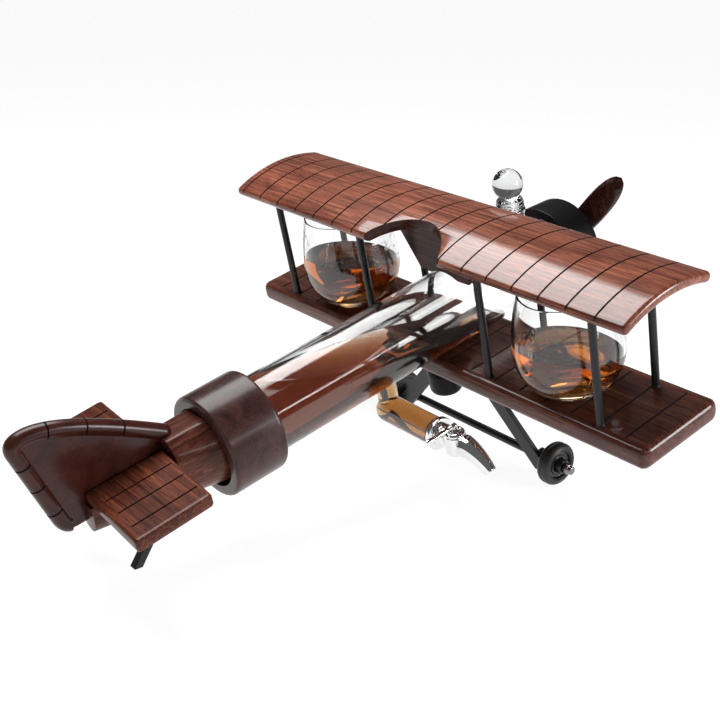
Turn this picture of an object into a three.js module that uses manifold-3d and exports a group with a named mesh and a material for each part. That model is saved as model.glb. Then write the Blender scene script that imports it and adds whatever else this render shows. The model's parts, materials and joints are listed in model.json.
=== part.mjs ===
// Biplane-shaped drinks stand: a glass decanter is the fuselage of a small wooden biplane, two
// stemless tumblers stand between its wings, and a chrome tap fills them.
// Millimetres. The airframe is drawn level: +X to its right wing tip, +Y to its nose, +Z up, with
// the lower wing's top face at z = 0 and its trailing edge at y = 0. It is then pitched nose-up to
// stand on two wheels and a tail skid, with the origin under the middle of its box.
import * as THREE from 'three';
import { mergeVertices } from 'three/addons/utils/BufferGeometryUtils.js';
import Module from 'manifold-3d';

const wasm = await Module();
wasm.setup();

// Driving dimensions
const GAP = 0.3;
const PITCH = THREE.MathUtils.degToRad(13.8);
const LOWER = { halfSpan: 229.5, chord: 84.4, thick: 17.8, round: 5.5, corner: 6 };
const UPPER = { halfSpan: 224.3, midY: 40.5, chord: 93, crown: 111, thick: 8.5, sagitta: 9, round: 3 };
const CUTOUT = { halfWidth: 43.5, frontY: 27, rearY: -6 };
const SADDLE = { bottomHalf: 28, bottomZ: 56.5, topZ: 120, flare: 0.66, rearY: 35, length: 29, round: 1.2 };
const STRUT = { radius: 3.1, x: [69.5, 182.9], y: [8.5, 71.3] };
const TUBE = { radius: 31.4, wall: 2.6, axisZ: 29.2, tailY: -188, noseY: 169, dome: 9 };
const NECK = { y: 116.6, radius: 11.2, bore: 8, topZ: 84.5, bead: 1.2 };
const STOPPER = { ballZ: 106, ballRadius: 13, collarRadius: 12, plugRadius: 7.6, plugZ: 66 };
const ARM = { y: -42, z: -30, radius: 11.6, bore: 9.2, endX: 55, stub: 8.4, stubBore: 6 };
const TAP = { flange: 13.6, flangeThick: 4, barrel: 8.2, body: 9, bodyX: 78, leverZ: 14, leverLength: 26 };
const SPOUT = { length: 27, drop: 13, bend: 14, base: 9.4, mouth: 5, bore: 3.6 };
const COLLAR = { front: -165, rear: -211.8, radius: 40.9, round: 2.5 };
const BLOCK = { front: -192, step: -244.5, rear: -311, topZ: 58.5, ledgeZ: 40.4 };
const BLOCK_END = { half: 11.5, bottom: 16 };
const STAB = { top: 51, thick: 10.3, round: 2.6 };
const FIN = { thick: 12.6, recess: 2, round: 1 };
const SKID = { width: 7, thick: 5.5, top: [-252, 5.4], foot: [-289.5, -31.5] };
const COWL = { rear: 148, front: 181, rearRadius: 39.8, frontRadius: 37.6, wall: 7.8 };
const PROP = { y: 187.5, length: 90, halfChord: 11.2, thick: 5.4, hub: 11, bore: 2.8, angle: 42 };
const GEAR = { y: 38.3, apexZ: -15.8, axleY: 44.2, axleZ: -94.6, plate: 3 };
const LEG = { width: 14, thick: 4.2, splay: THREE.MathUtils.degToRad(42), round: 3, pastAxle: 8 };
const WHEEL = { radius: 18.2, width: 12, faceX: 101.7, hub: 12.8, axle: 3.4 };
const KNOB = { y: 19.8, radius: 15, bottomZ: -44.5 };
const TUMBLER = { x: 129.3, y: 38.4, height: 82.7, belly: 43, rim: 35, foot: 23, wall: 1.9, base: 9 };

const X = new THREE.Vector3(1, 0, 0);
const Y = new THREE.Vector3(0, 1, 0);
const Z = new THREE.Vector3(0, 0, 1);

// Materials
const finish = (color, roughness, metalness = 0) =>
  new THREE.MeshStandardMaterial({ color, roughness, metalness });
const clearGlass = () =>
  new THREE.MeshStandardMaterial({ color: '#e8eef0', roughness: 0.04, transparent: true, opacity: 0.35 });
const WOOD = finish('#5a2a1c', 0.35);
const DARK_WOOD = finish('#3b1a16', 0.35);
const BLACK = finish('#141516', 0.45, 0.4);
const BLACK_PLASTIC = finish('#101112', 0.35);
const RUBBER = finish('#151515', 0.8);
const CHROME = finish('#c9cccf', 0.12, 1);
const GLASS = clearGlass();

const airframe = new THREE.Group();

function add(name, geometry, material) {
  const mesh = new THREE.Mesh(geometry, material);
  mesh.name = name;
  airframe.add(mesh);
  return mesh;
}

// Solids: a closed geometry becomes a solid for cuts and joins, and comes back as a geometry
function toSolid(geometry) {
  const bare = geometry.clone();
  bare.deleteAttribute('normal');
  bare.deleteAttribute('uv');
  const merged = mergeVertices(bare, 1e-4);
  const vertProperties = new Float32Array(merged.attributes.position.array);
  const triVerts = new Uint32Array(merged.index.array);
  return new wasm.Manifold(new wasm.Mesh({ numProp: 3, vertProperties, triVerts }));
}

function toGeometry(solid) {
  const { vertProperties, triVerts } = solid.getMesh();
  const geometry = new THREE.BufferGeometry();
  geometry.setAttribute('position', new THREE.BufferAttribute(new Float32Array(vertProperties), 3));
  geometry.setIndex(new THREE.BufferAttribute(new Uint32Array(triVerts), 1));
  geometry.computeVertexNormals();
  return geometry;
}

const cut = (body, ...tools) =>
  toGeometry(tools.reduce((solid, tool) => solid.subtract(toSolid(tool)), toSolid(body)));
const common = (body, tool) => toGeometry(toSolid(body).intersect(toSolid(tool)));
const join = (...parts) =>
  toGeometry(parts.slice(1).reduce((solid, part) => solid.add(toSolid(part)), toSolid(parts[0])));

// A round bar from one point to another
function rod(from, to, radius, sides = 16) {
  const a = new THREE.Vector3(...from);
  const b = new THREE.Vector3(...to);
  const geometry = new THREE.CylinderGeometry(radius, radius, a.distanceTo(b), sides);
  const turn = new THREE.Quaternion().setFromUnitVectors(Y, b.clone().sub(a).normalize());
  geometry.applyQuaternion(turn);
  return geometry.translate(...a.add(b).multiplyScalar(0.5).toArray());
}

function box(size, centre) {
  return new THREE.BoxGeometry(...size).translate(...centre);
}

// A turned shape: profile points are [radius, distance along the axis]
function turned(profile, axis, sides) {
  const points = profile.map(([radius, along]) => new THREE.Vector2(radius, along));
  const geometry = new THREE.LatheGeometry(points, sides);
  if (axis === Z) geometry.rotateX(Math.PI / 2);
  if (axis === X) geometry.rotateZ(-Math.PI / 2);
  return geometry;
}

// An outline drawn in the plane of two axes and pushed along the third
function pushed(shape, depth, round, [across, up, along], curveSegments = 10) {
  const geometry = new THREE.ExtrudeGeometry(shape, {
    depth: depth - 2 * round,
    bevelEnabled: round > 0,
    bevelSize: round,
    bevelOffset: -round,
    bevelThickness: round,
    bevelSegments: 2,
    curveSegments,
  });
  geometry.translate(0, 0, round);
  return geometry.applyMatrix4(new THREE.Matrix4().makeBasis(across, up, along));
}

function polygon(points) {
  return new THREE.Shape(points.map(([x, y]) => new THREE.Vector2(x, y)));
}

function roundedRect(x0, y0, x1, y1, r) {
  const shape = new THREE.Shape();
  shape.moveTo(x0 + r, y0);
  shape.lineTo(x1 - r, y0).absarc(x1 - r, y0 + r, r, -Math.PI / 2, 0);
  shape.lineTo(x1, y1 - r).absarc(x1 - r, y1 - r, r, 0, Math.PI / 2);
  shape.lineTo(x0 + r, y1).absarc(x0 + r, y1 - r, r, Math.PI / 2, Math.PI);
  shape.lineTo(x0, y0 + r).absarc(x0 + r, y0 + r, r, Math.PI, 1.5 * Math.PI);
  return shape;
}

// The upper wing's camber: two arcs about one centre line, closed by round edges
const topRadius = (UPPER.chord ** 2 / 4 + UPPER.sagitta ** 2) / (2 * UPPER.sagitta);
const underRadius = topRadius - UPPER.thick;
const camberZ = UPPER.crown - topRadius;

function camberOutline() {
  const middle = (topRadius + underRadius) / 2;
  const edge = UPPER.thick / 2;
  const half = Math.asin((UPPER.chord / 2 - edge) / middle);
  const shape = new THREE.Shape();
  shape.absarc(UPPER.midY, camberZ, topRadius, Math.PI / 2 - half, Math.PI / 2 + half);
  const rearY = UPPER.midY - middle * Math.sin(half);
  const frontY = UPPER.midY + middle * Math.sin(half);
  const edgeZ = camberZ + middle * Math.cos(half);
  const tilt = Math.PI / 2 + half;
  shape.absarc(rearY, edgeZ, edge, tilt, tilt + Math.PI);
  shape.absarc(UPPER.midY, camberZ, underRadius, Math.PI / 2 + half, Math.PI / 2 - half, true);
  shape.absarc(frontY, edgeZ, edge, -Math.PI / 2 - half, Math.PI / 2 - half);
  return shape;
}

// Everything below the upper wing's underside, less the gap
const underWing = () =>
  rod([-300, UPPER.midY, camberZ], [300, UPPER.midY, camberZ], underRadius - GAP, 180);

const tubeChannel = () =>
  rod([0, -400, TUBE.axisZ], [0, 400, TUBE.axisZ], TUBE.radius + GAP, 72);

// The pilot's cut-out: an arch that opens at the upper wing's trailing edge
function cutoutOutline() {
  const { halfWidth, frontY, rearY } = CUTOUT;
  const shape = new THREE.Shape();
  shape.moveTo(-halfWidth, -30);
  shape.lineTo(halfWidth, -30);
  shape.lineTo(halfWidth, rearY);
  shape.bezierCurveTo(halfWidth - 5.5, rearY + 14, 20, frontY, 0, frontY);
  shape.bezierCurveTo(-20, frontY, 5.5 - halfWidth, rearY + 14, -halfWidth, rearY);
  return shape;
}

function addWings() {
  const plan = roundedRect(-LOWER.halfSpan, 0, LOWER.halfSpan, LOWER.chord, LOWER.corner);
  const slab = pushed(plan, LOWER.thick, LOWER.round, [X, Y, Z], 5).translate(0, 0, -LOWER.thick);
  add('lower_wing', cut(slab, tubeChannel()), WOOD);

  const panel = pushed(camberOutline(), 2 * UPPER.halfSpan, UPPER.round, [Y, Z, X], 9);
  panel.translate(-UPPER.halfSpan, 0, 0);
  const notch = pushed(cutoutOutline(), 60, 0, [X, Y, Z], 8).translate(0, 0, 80);
  add('upper_wing', cut(panel, notch), WOOD);
}

// The flared block between the fuselage glass and the upper wing
function addSaddle() {
  const { bottomHalf, bottomZ, topZ, flare, rearY, length, round } = SADDLE;
  const topHalf = bottomHalf + flare * (topZ - bottomZ);
  const front = polygon([[-bottomHalf, bottomZ], [bottomHalf, bottomZ], [topHalf, topZ], [-topHalf, topZ]]);
  const block = pushed(front, length, round, [X, Z, Y.clone().negate()]);
  block.translate(0, rearY + length, 0);
  const underneath = common(block, underWing());
  add('wing_saddle', cut(underneath, tubeChannel()), DARK_WOOD);
}

function addStruts() {
  const rows = { rear: STRUT.y[0], front: STRUT.y[1] };
  const [inner, outer] = STRUT.x;
  const bays = { left_outer: -outer, left_inner: -inner, right_inner: inner, right_outer: outer };
  for (const [row, y] of Object.entries(rows)) {
    for (const [bay, x] of Object.entries(bays)) {
      const post = rod([x, y, GAP], [x, y, UPPER.crown], STRUT.radius);
      add(`strut_${bay}_${row}`, common(post, underWing()), BLACK);
    }
  }
}

// The decanter: a glass tube with a neck fused on top and an elbowed outlet fused below
function addDecanter() {
  const { radius, wall, axisZ, tailY, noseY, dome } = TUBE;
  const barrel = turned([[0, tailY], [radius - 3, tailY], [radius, tailY + 3], [radius, noseY - dome],
    [radius - 3, noseY - 3], [radius - dome, noseY], [0, noseY]], Y, 40).translate(0, 0, axisZ);
  const inner = radius - wall;
  const hollow = turned([[0, tailY + 6], [inner - 3, tailY + 6], [inner, tailY + 9],
    [inner, noseY - dome - 3], [inner - 8, noseY - 5], [0, noseY - 5]], Y, 40).translate(0, 0, axisZ);
  const neckBore = rod([0, NECK.y, axisZ], [0, NECK.y, NECK.topZ + 5], NECK.bore, 24);
  const stubBore = rod([0, ARM.y, axisZ], [0, ARM.y, ARM.z], ARM.stubBore, 14);
  add('decanter_tube', cut(barrel, hollow, neckBore, stubBore), GLASS);

  const lip = NECK.radius + NECK.bead;
  const neck = turned([[0, axisZ], [NECK.radius, axisZ], [NECK.radius, NECK.topZ - 4.5],
    [lip, NECK.topZ - 3.6], [lip, NECK.topZ - 1], [NECK.radius, NECK.topZ], [0, NECK.topZ]], Z, 24);
  add('decanter_neck', cut(neck.translate(0, NECK.y, 0), tubeChannel(), neckBore), GLASS);

  const stub = rod([0, ARM.y, axisZ], [0, ARM.y, ARM.z], ARM.stub, 18);
  const elbow = new THREE.SphereGeometry(ARM.radius, 18, 10).translate(0, ARM.y, ARM.z);
  const arm = rod([0, ARM.y, ARM.z], [ARM.endX, ARM.y, ARM.z], ARM.radius, 20);
  const elbowBore = new THREE.SphereGeometry(ARM.bore, 14, 8).translate(0, ARM.y, ARM.z);
  const armBore = rod([0, ARM.y, ARM.z], [ARM.endX + 5, ARM.y, ARM.z], ARM.bore, 14);
  const outlet = join(stub, elbow, arm);
  add('decanter_outlet', cut(outlet, tubeChannel(), stubBore, elbowBore, armBore), GLASS);
}

// A glass ball on a beaded collar, with a plug that hangs in the neck
function addStopper() {
  const { ballZ, ballRadius, collarRadius, plugRadius, plugZ } = STOPPER;
  const seat = NECK.topZ + GAP;
  const waist = 8;
  const start = -Math.acos(waist / ballRadius);
  const steps = 8;
  const ball = [];
  for (let i = 0; i < steps; i += 1) {
    const turn = start + (Math.PI / 2 - start) * (i / steps);
    ball.push([ballRadius * Math.cos(turn), ballZ + ballRadius * Math.sin(turn)]);
  }
  const profile = [[0, plugZ], [plugRadius - 1, plugZ], [plugRadius, plugZ + 1.5], [plugRadius, seat],
    [collarRadius - 0.8, seat], [collarRadius, seat + 1.2], [collarRadius - 0.9, seat + 2.6],
    [collarRadius, seat + 4], [collarRadius - 0.9, seat + 6.4], [waist, seat + 8.6],
    ...ball, [0, ballZ + ballRadius]];
  add('stopper', turned(profile, Z, 22).translate(0, NECK.y, 0), GLASS);
}

function ring(inner, outer, from, to, round, axis, sides) {
  return turned([[inner, from], [outer - round, from], [outer, from + round], [outer, to - round],
    [outer - round, to], [inner, to], [inner, from]], axis, sides);
}

// A skin through rings of points, closed at both ends
function lofted(rings) {
  const sides = rings[0].length;
  const position = rings.flat(2);
  const index = [];
  for (let row = 0; row + 1 < rings.length; row += 1) {
    for (let i = 0; i < sides; i += 1) {
      const a = row * sides + i;
      const b = row * sides + ((i + 1) % sides);
      index.push(a, b, a + sides, b, b + sides, a + sides);
    }
  }
  const last = (rings.length - 1) * sides;
  for (let i = 1; i + 1 < sides; i += 1) {
    index.push(0, i + 1, i, last, last + i, last + i + 1);
  }
  const geometry = new THREE.BufferGeometry();
  geometry.setAttribute('position', new THREE.Float32BufferAttribute(position, 3));
  geometry.setIndex(index);
  geometry.computeVertexNormals();
  return geometry;
}

function addCollar() {
  const { front, rear, radius, round } = COLLAR;
  const band = ring(TUBE.radius + GAP, radius, rear, front, round, Y, 40);
  add('tail_collar', band.translate(0, 0, TUBE.axisZ), DARK_WOOD);
}

// The tail block tapers from a flat-topped round to a narrow end
function tailBlock(grow) {
  const mix = THREE.MathUtils.lerp;
  const steps = 5;
  const sides = 24;
  const rings = [];
  for (let row = 0; row <= steps; row += 1) {
    const t = row / steps;
    const half = mix(TUBE.radius - GAP, BLOCK_END.half, t) + grow;
    const centre = mix(TUBE.axisZ, BLOCK.ledgeZ, t);
    const bottom = mix(TUBE.axisZ - TUBE.radius + GAP, BLOCK_END.bottom, t) - grow;
    const points = [];
    for (let i = 0; i < sides; i += 1) {
      const turn = (i / sides) * 2 * Math.PI;
      const z = Math.min(centre + (centre - bottom) * Math.sin(turn), BLOCK.topZ);
      points.push([half * Math.cos(turn), mix(BLOCK.front, BLOCK.rear, t), z]);
    }
    rings.push(points);
  }
  return lofted(rings);
}

// Its rear top is cut down to a ledge for the tailplane and the fin
function addTailBlock() {
  const above = box([120, 100, 60], [0, BLOCK.step - 50, BLOCK.ledgeZ + 30]);
  add('tail_block', cut(tailBlock(0), above), WOOD);
}

// The fin's outline, as [y, z]: a long rising curve, a steep rear edge and a step over the block
function finOutline() {
  const { topZ, ledgeZ, step, rear } = BLOCK;
  const shape = new THREE.Shape();
  shape.moveTo(-231, topZ + GAP);
  shape.lineTo(-231, topZ + 2.6);
  shape.bezierCurveTo(-262, 83, -308, 115, -334, 115);
  shape.quadraticCurveTo(-351.5, 115, -349.6, 101);
  shape.lineTo(-335.5, 38);
  shape.quadraticCurveTo(-332.5, 25.5, -322, 25.5);
  shape.lineTo(rear - GAP, 27);
  shape.lineTo(rear - GAP, ledgeZ + GAP);
  shape.lineTo(step - GAP, ledgeZ + GAP);
  shape.lineTo(step - GAP, topZ + GAP);
  return shape;
}

// The recessed panel inside the fin's raised border
function finPanel() {
  const shape = new THREE.Shape();
  shape.moveTo(-254, 47);
  shape.lineTo(-254, 64);
  shape.bezierCurveTo(-276, 82, -308, 104.5, -331, 105);
  shape.quadraticCurveTo(-341.5, 105, -339.5, 98);
  shape.lineTo(-326.5, 40);
  shape.quadraticCurveTo(-325, 35, -320, 35);
  shape.lineTo(-314, 35);
  shape.lineTo(-314, 47);
  return shape;
}

function addFin() {
  const half = FIN.thick / 2;
  const plate = pushed(finOutline(), FIN.thick, FIN.round, [Y, Z, X], 6).translate(-half, 0, 0);
  const depth = FIN.recess + 5;
  const panel = pushed(finPanel(), depth, 0, [Y, Z, X], 6);
  const right = panel.clone().translate(half - FIN.recess, 0, 0);
  const left = panel.clone().translate(FIN.recess - half - depth, 0, 0);
  add('tail_fin', cut(plate, right, left), DARK_WOOD);
}

// The tailplane's two halves sit a little askew on the block, as [x, y] outlines beside the fin
function addStabilizers() {
  const { thick, top, round } = STAB;
  const inner = FIN.thick / 2 + GAP;
  const outlines = {
    stabilizer_left: [[-inner, -246], [-93.5, -240.5], [-89.5, -303], [-inner, -306.5]],
    stabilizer_right: [[inner, -246.5], [80, -253], [82, -314.5], [inner, -309.5]],
  };
  for (const [name, outline] of Object.entries(outlines)) {
    const panel = pushed(polygon(outline), thick, round, [X, Y, Z]);
    add(name, panel.translate(0, 0, top - thick), WOOD);
  }
}

// In the level airframe's frame the ground is a slab tilted by the pitch
function ground() {
  const level = GEAR.axleY * Math.sin(PITCH) + GEAR.axleZ * Math.cos(PITCH) - WHEEL.radius;
  return box([400, 900, 100], [0, 0, level - 50]).rotateX(-PITCH);
}

// A raked bar under the tail block, cut level where it meets the ground
function addSkid() {
  const [topY, topZ] = SKID.top;
  const [footY, footZ] = SKID.foot;
  const rake = Math.atan2(topY - footY, topZ - footZ);
  const length = Math.hypot(topY - footY, topZ - footZ) + 20;
  const bar = box([SKID.width, SKID.thick, length], [0, 0, 0]).rotateX(-rake);
  bar.translate(0, (topY + footY) / 2, (topZ + footZ) / 2);
  add('tail_skid', cut(bar, tailBlock(GAP), ground()), BLACK);
}

// A cup over the glass tube's nose, with a small hole for the propeller shaft
function addCowl() {
  const { rear, front, rearRadius, frontRadius, wall } = COWL;
  const inner = TUBE.radius + GAP;
  const face = front + 0.8;
  const shell = turned([[inner, rear], [rearRadius - 1, rear], [rearRadius, rear + 1],
    [frontRadius, front - 6], [frontRadius - 2.2, front - 2], [frontRadius - 6.5, front],
    [PROP.hub + 4, face], [PROP.bore, face], [PROP.bore, front - wall], [inner, front - wall],
    [inner, rear]], Y, 40);
  add('engine_cowl', shell.translate(0, 0, TUBE.axisZ), BLACK);
}

// One leaf-shaped blade, thin and twisted, standing up from the hub
function blade() {
  const steps = 8;
  const sides = 10;
  const rings = [];
  for (let row = 0; row <= steps; row += 1) {
    const t = row / steps;
    const leaf = Math.sin(Math.PI * (0.2 + 0.79 * t)) ** 0.5;
    const chord = PROP.halfChord * leaf;
    const thick = (PROP.thick / 2) * (1 - 0.55 * t);
    const twist = THREE.MathUtils.degToRad(24 - 14 * t);
    const points = [];
    for (let i = 0; i < sides; i += 1) {
      const turn = (i / sides) * 2 * Math.PI;
      const across = chord * Math.cos(turn);
      const along = thick * Math.sin(turn);
      const x = across * Math.cos(twist) - along * Math.sin(twist);
      const y = across * Math.sin(twist) + along * Math.cos(twist);
      points.push([x, y, 4 + (PROP.length - 4) * t]);
    }
    rings.push(points);
  }
  return lofted(rings);
}

function addPropeller() {
  const { hub, bore, angle, y } = PROP;
  const boss = turned([[0, -4.2], [hub - 1, -4.2], [hub, -3], [hub, 3], [hub - 1.5, 4.2], [0, 4.2]], Y, 24);
  const both = join(boss, blade(), blade().rotateY(Math.PI));
  const carved = cut(both, rod([0, -9, 0], [0, 9, 0], bore, 20));
  const turn = THREE.MathUtils.degToRad(angle);
  add('propeller', carved.rotateY(turn).translate(0, y, TUBE.axisZ), DARK_WOOD);

  const end = y + 4;
  const shaft = rod([0, COWL.front - 7, TUBE.axisZ], [0, end, TUBE.axisZ], bore - GAP, 20);
  add('propeller_shaft', shaft, CHROME);
  const cap = turned([[0, end + 0.5], [7.5, end + 0.5], [7.5, end + 2.5], [6.2, end + 5.5],
    [3.4, end + 7.6], [0, end + 8.2]], Y, 24);
  add('propeller_cap', cap.translate(0, 0, TUBE.axisZ), CHROME);
}

// A flat landing-gear leg: its inner edge runs down and outward from under the wing's middle
function legPoint(down, out) {
  const { splay } = LEG;
  const x = down * Math.sin(splay) + out * Math.cos(splay);
  return [x, GEAR.apexZ - down * Math.cos(splay) + out * Math.sin(splay)];
}

function legReach(z, out) {
  return (out * Math.sin(LEG.splay) + GEAR.apexZ - z) / Math.cos(LEG.splay);
}

function legOutline() {
  const { width, round, pastAxle } = LEG;
  const top = -LOWER.thick - GEAR.plate - 2 * GAP;
  const end = legReach(GEAR.axleZ, width / 2) + pastAxle;
  return polygon([legPoint(legReach(top, 0), 0), legPoint(end - round, 0), legPoint(end, round),
    legPoint(end, width - round), legPoint(end - round, width), legPoint(legReach(top, width), width)]);
}

function addLandingGear() {
  const { y, axleY, axleZ, plate } = GEAR;
  add('gear_plate', box([52, 6, plate], [0, y, -LOWER.thick - GAP - plate / 2]), BLACK);
  const leg = pushed(legOutline(), LEG.thick, 0.5, [X, Z, Y.clone().negate()]);
  leg.translate(0, LEG.thick / 2, 0);
  add('gear_leg_right', leg.clone().translate(GAP, y, 0), BLACK);
  add('gear_leg_left', leg.clone().rotateZ(Math.PI).translate(-GAP, y, 0), BLACK);

  const reach = WHEEL.faceX + 4.6;
  add('axle', rod([-reach, axleY, axleZ], [reach, axleY, axleZ], WHEEL.axle, 24), BLACK);
  const legFront = y + LEG.thick / 2 + GAP;
  const clipDepth = axleY + WHEEL.axle + 1.8 - legFront;
  const bore = rod([-120, axleY, axleZ], [120, axleY, axleZ], WHEEL.axle + GAP, 24);
  const middle = LEG.width / 2;
  const clipX = legPoint(legReach(axleZ, middle), middle)[0];
  for (const [side, name] of [[-1, 'left'], [1, 'right']]) {
    const block = box([8, clipDepth, 10], [side * clipX, legFront + clipDepth / 2, axleZ]);
    add(`axle_clip_${name}`, cut(block, bore), BLACK);
  }
}

function addWheels() {
  const { radius, width, faceX, hub, axle } = WHEEL;
  const bore = axle + GAP;
  const inner = faceX - width;
  const tyre = ring(hub + GAP, radius, inner, faceX, 2.4, X, 32);
  const back = inner + 0.4;
  const front = faceX - 0.4;
  const dish = faceX - 2.6;
  const cap = faceX + 4;
  const disc = turned([[bore, back], [hub, back], [hub, front], [hub - 1.8, front], [hub - 2.6, dish],
    [6.4, dish], [5.6, cap], [bore, cap], [bore, back]], X, 24);
  const nut = turned([[0, faceX + 5], [4.6, faceX + 5], [4.6, faceX + 9], [3.6, faceX + 11.4],
    [1.6, faceX + 12.8], [0, faceX + 13.2]], X, 16);
  for (const [side, name] of [[-1, 'left'], [1, 'right']]) {
    const pieces = { [`tyre_${name}`]: [tyre, RUBBER], [`wheel_hub_${name}`]: [disc, BLACK_PLASTIC],
      [`axle_nut_${name}`]: [nut, BLACK] };
    for (const [piece, [geometry, material]] of Object.entries(pieces)) {
      const turnedOut = geometry.clone().rotateZ(side < 0 ? Math.PI : 0);
      add(piece, turnedOut.translate(0, GEAR.axleY, GEAR.axleZ), material);
    }
  }
}

function addKnob() {
  const { y, radius, bottomZ } = KNOB;
  const top = -LOWER.thick - GAP;
  const knob = turned([[0, bottomZ], [radius - 3, bottomZ], [radius - 0.8, bottomZ + 1.2],
    [radius, bottomZ + 3.5], [radius, top - 6], [radius - 3, top], [0, top]], Z, 28);
  add('underwing_knob', knob.translate(0, y, 0), BLACK_PLASTIC);
}

// The tap on the end of the glass arm: gasket, flange, valve body, horn-shaped spout and lever
function addTap() {
  const { flange, flangeThick, barrel, body, bodyX, leverZ, leverLength } = TAP;
  const place = (geometry) => geometry.translate(0, ARM.y, ARM.z);
  const start = ARM.endX + GAP;
  add('tap_gasket', place(ring(4, ARM.radius + 0.6, start, start + 2, 0.6, X, 20)), RUBBER);
  const plateX = start + 2 + GAP;
  const plate = ring(4, flange, plateX, plateX + flangeThick, 1.1, X, 24);
  add('tap_flange', place(plate), CHROME);

  const barrelX = plateX + flangeThick + GAP;
  const tube = rod([barrelX, 0, 0], [bodyX, 0, 0], barrel, 20);
  const post = turned([[0, -body - 1.5], [body - 2, -body - 1.5], [body, -body + 0.5], [body, body - 0.5],
    [body - 2.5, body + 1.5], [0, body + 1.5]], Z, 20).translate(bodyX, 0, 0);
  add('tap_body', place(join(tube, post)), CHROME);
  add('tap_spout', place(spout(bodyX + body + 2 * GAP)), CHROME);

  const stem = rod([bodyX, 0, body + 1.5 + GAP], [bodyX, 0, leverZ], 2.7, 14);
  const bar = rod([bodyX, 2.5, leverZ], [bodyX, -leverLength, leverZ], 2, 12);
  const end = new THREE.SphereGeometry(2.8, 12, 8).translate(bodyX, -leverLength, leverZ);
  add('tap_lever', place(join(stem, bar, end)), CHROME);
}

// A stubby horn that narrows and droops from the valve to its mouth
function spout(startX) {
  const { length, drop, bend, base, mouth, bore } = SPOUT;
  const path = new THREE.QuadraticBezierCurve3(new THREE.Vector3(startX, 0, 0),
    new THREE.Vector3(startX + bend, 0, 0), new THREE.Vector3(startX + length, 0, -drop));
  const steps = 5;
  const sides = 14;
  const rings = [];
  for (let row = 0; row <= steps; row += 1) {
    const t = row / steps;
    const centre = path.getPoint(t);
    const tangent = path.getTangent(t);
    const radius = THREE.MathUtils.lerp(base, mouth, t);
    const points = [];
    for (let i = 0; i < sides; i += 1) {
      const turn = (i / sides) * 2 * Math.PI;
      const side = radius * Math.cos(turn);
      const lift = radius * Math.sin(turn);
      points.push([centre.x - lift * tangent.z, side, centre.z + lift * tangent.x]);
    }
    rings.push(points);
  }
  const end = path.getPoint(1);
  const inward = path.getTangent(1).multiplyScalar(-5).add(end);
  const outward = path.getTangent(1).multiplyScalar(2).add(end);
  return cut(lofted(rings), rod(inward.toArray(), outward.toArray(), bore, 12));
}

// A stemless tumbler: the outer curve is a spline and the inner one follows it at the wall
function addTumblers() {
  const { height, belly, rim, foot, wall, base } = TUMBLER;
  const curve = new THREE.SplineCurve([[foot, GAP], [foot + 10.5, 7], [belly - 2.2, 20], [belly, 36],
    [belly - 2.8, 60], [rim, height]].map(([r, z]) => new THREE.Vector2(r, z)));
  const outer = curve.getPoints(9).map((point) => [point.x, point.y]);
  const inner = outer.filter(([, z]) => z > base + 1).reverse().map(([r, z]) => [r - wall, z]);
  const profile = [[0, GAP + 1], [foot - 4, GAP + 1], [foot - 2, GAP], ...outer, ...inner,
    [foot + 2, base], [0, base]];
  for (const [side, name] of [[-1, 'left'], [1, 'right']]) {
    const glass = turned(profile, Z, 30).translate(side * TUMBLER.x, TUMBLER.y, 0);
    add(`tumbler_${name}`, glass, GLASS);
  }
}

addWings();
addSaddle();
addStruts();
addDecanter();
addStopper();
addCollar();
addTailBlock();
addFin();
addStabilizers();
addSkid();
addCowl();
addPropeller();
addLandingGear();
addWheels();
addKnob();
addTap();
addTumblers();

// Stand the airframe on its wheels and skid, with the origin under the middle of its box
const model = new THREE.Group();
airframe.rotation.x = PITCH;
model.add(airframe);
model.updateMatrixWorld(true);
const bounds = new THREE.Box3().setFromObject(airframe, true);
const middle = bounds.getCenter(new THREE.Vector3());
airframe.position.set(-middle.x, -middle.y, -bounds.min.z);

export default model;
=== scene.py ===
# Looks for the biplane drinks stand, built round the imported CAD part.
# Shapes are drawn in millimetres in the level airframe (+X right wing, +Y nose, +Z up), and
# piece() pitches them nose-up into the part's frame. A profile point is (radius, distance along
# the axis), or has a third number: how far from the corner its rounding starts.
import json
import math

import bmesh
import bpy
from mathutils import Euler, Matrix, Vector


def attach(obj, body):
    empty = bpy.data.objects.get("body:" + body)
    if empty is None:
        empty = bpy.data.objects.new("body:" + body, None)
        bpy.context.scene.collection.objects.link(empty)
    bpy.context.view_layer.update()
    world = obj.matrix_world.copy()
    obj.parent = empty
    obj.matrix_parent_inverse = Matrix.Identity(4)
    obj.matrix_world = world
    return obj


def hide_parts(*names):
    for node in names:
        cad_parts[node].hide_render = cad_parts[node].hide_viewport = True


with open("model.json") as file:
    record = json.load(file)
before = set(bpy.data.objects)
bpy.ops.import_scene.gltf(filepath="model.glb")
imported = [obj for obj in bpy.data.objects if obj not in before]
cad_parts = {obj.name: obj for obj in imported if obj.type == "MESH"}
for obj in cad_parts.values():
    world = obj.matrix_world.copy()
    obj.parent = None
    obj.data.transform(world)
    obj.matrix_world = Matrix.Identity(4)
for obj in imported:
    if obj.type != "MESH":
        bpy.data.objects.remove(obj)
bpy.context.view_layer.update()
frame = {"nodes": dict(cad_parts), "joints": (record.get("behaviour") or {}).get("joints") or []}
scene = bpy.context.scene
nodes = frame["nodes"]

# The airframe stands nose-up: its pitch and place come from the propeller's joint
spin = next(joint for joint in frame["joints"] if joint["name"] == "propeller_spin")
PITCH = math.atan2(spin["axis"][2], spin["axis"][1])
TURN = Matrix.Rotation(PITCH, 4, "X")
HUB = Vector((0, 0.1875, 0.0292))  # the propeller's hub in the level airframe, in metres
AIR = Matrix.Translation(Vector(spin["pos_m"]) - TURN.to_3x3() @ HUB) @ TURN
MM = 0.001


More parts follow.
